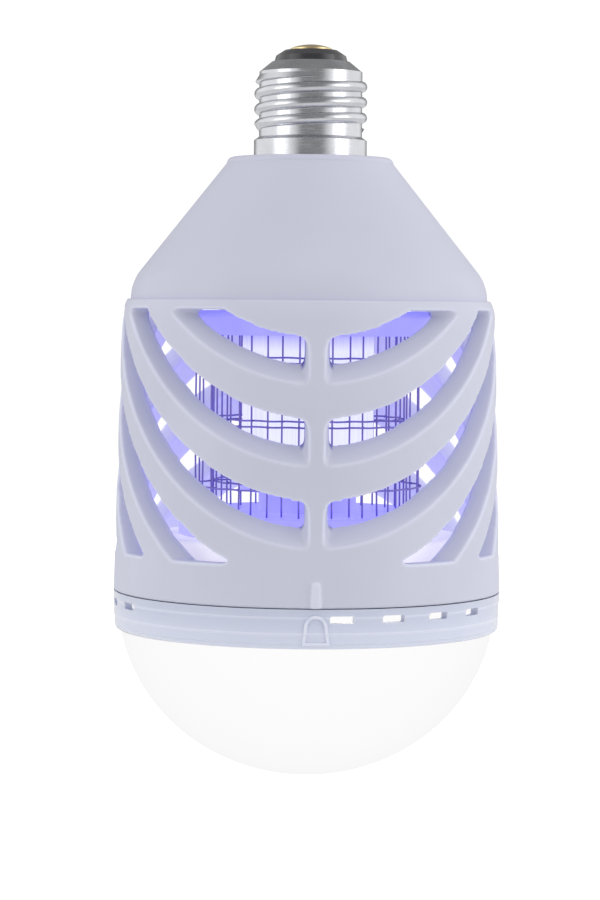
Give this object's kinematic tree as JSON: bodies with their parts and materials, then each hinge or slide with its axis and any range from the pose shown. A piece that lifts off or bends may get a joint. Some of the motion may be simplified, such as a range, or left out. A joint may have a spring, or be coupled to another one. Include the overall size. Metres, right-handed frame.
{
  "type": "electric bug zapper bulb",
  "caption": "Screw-in lamp bulb with a slotted guard cage around high-voltage grids and a violet lamp, a twist lock ring and a milky light dome.",
  "frame": {"origin": "centre of the cone's flat top, where the screw base begins", "axes": "+Z along the screw base towards its centre contact; -Y is the front, the side with the spine, alignment mark and padlock mark"},
  "size_m": [0.09, 0.0905, 0.1701],
  "materials": {
    "screw_shell": "nickel-plated brass",
    "base_insulator": "black glass",
    "centre_contact": "satin",
    "live_wire": "insulated lead",
    "neutral_wire": "insulated lead",
    "upper_housing": "satin moulded",
    "cage": "satin moulded",
    "cage_screws": "zinc plated",
    "driver_board": "solder mask",
    "board_screws": "zinc plated",
    "bulk_capacitor": "sleeved can",
    "film_capacitors": "dipped",
    "transformer_core": "ferrite",
    "transformer_winding": "taped winding",
    "bridge_rectifier": "moulded",
    "fuse_resistor": "lacquered",
    "multiplier_diodes": "moulded",
    "multiplier_capacitors": "dipped ceramic",
    "driver_chip": "moulded",
    "socket_body": "moulded nylon",
    "socket_contacts": "satin",
    "plug_pins": "satin",
    "grid_top_plate": "satin moulded",
    "grid_leads": "tinned",
    "outer_grid": "drawn wire",
    "inner_grid": "drawn wire",
    "column_tube": "ribbed clear",
    "column_core": "extruded",
    "uv_boards": "white solder mask",
    "uv_leds": "violet lamp chips",
    "grid_base_plate": "satin moulded",
    "lamp_carrier": "translucent moulded",
    "carrier_screws": "zinc plated",
    "lamp_board": "white-faced",
    "white_leds": "white lamp chips",
    "lamp_leads": "insulated lead",
    "lamp_screws": "zinc plated",
    "lock_ring": "semi-gloss moulded",
    "diffuser_dome": "milky diffuser"
  },
  "bodies": {
    "housing": {"screw_shell": "screw_shell", "base_insulator": "base_insulator", "centre_contact": "centre_contact", "live_wire": "live_wire", "neutral_wire": "neutral_wire", "upper_housing": "upper_housing", "cage": "cage", "cage_screws": "cage_screws", "driver_board": "driver_board", "board_screws": "board_screws", "bulk_capacitor": "bulk_capacitor", "film_capacitors": "film_capacitors", "transformer_core": "transformer_core", "transformer_winding": "transformer_winding", "bridge_rectifier": "bridge_rectifier", "fuse_resistor": "fuse_resistor", "multiplier_diodes": "multiplier_diodes", "multiplier_capacitors": "multiplier_capacitors", "driver_chip": "driver_chip", "socket_body": "socket_body", "socket_contacts": "socket_contacts"},
    "insert": {"plug_pins": "plug_pins", "grid_top_plate": "grid_top_plate", "grid_leads": "grid_leads", "outer_grid": "outer_grid", "inner_grid": "inner_grid", "column_tube": "column_tube", "column_core": "column_core", "uv_boards": "uv_boards", "uv_leds": "uv_leds", "grid_base_plate": "grid_base_plate", "lamp_carrier": "lamp_carrier", "carrier_screws": "carrier_screws", "lamp_board": "lamp_board", "white_leds": "white_leds", "lamp_leads": "lamp_leads", "lamp_screws": "lamp_screws"},
    "lock_cover": {"lock_ring": "lock_ring", "diffuser_dome": "diffuser_dome"}
  },
  "joints": [
    {"name": "insert_pull", "type": "slide", "parent": "housing", "child": "insert", "axis": [0, 0, -1], "range_m": [0, 0.075]},
    {"name": "cover_twist", "type": "hinge", "parent": "insert", "child": "lock_cover", "pos_m": [0, 0, -0.105], "axis": [0, 0, 1], "range_deg": [0, 20]}
  ]
}
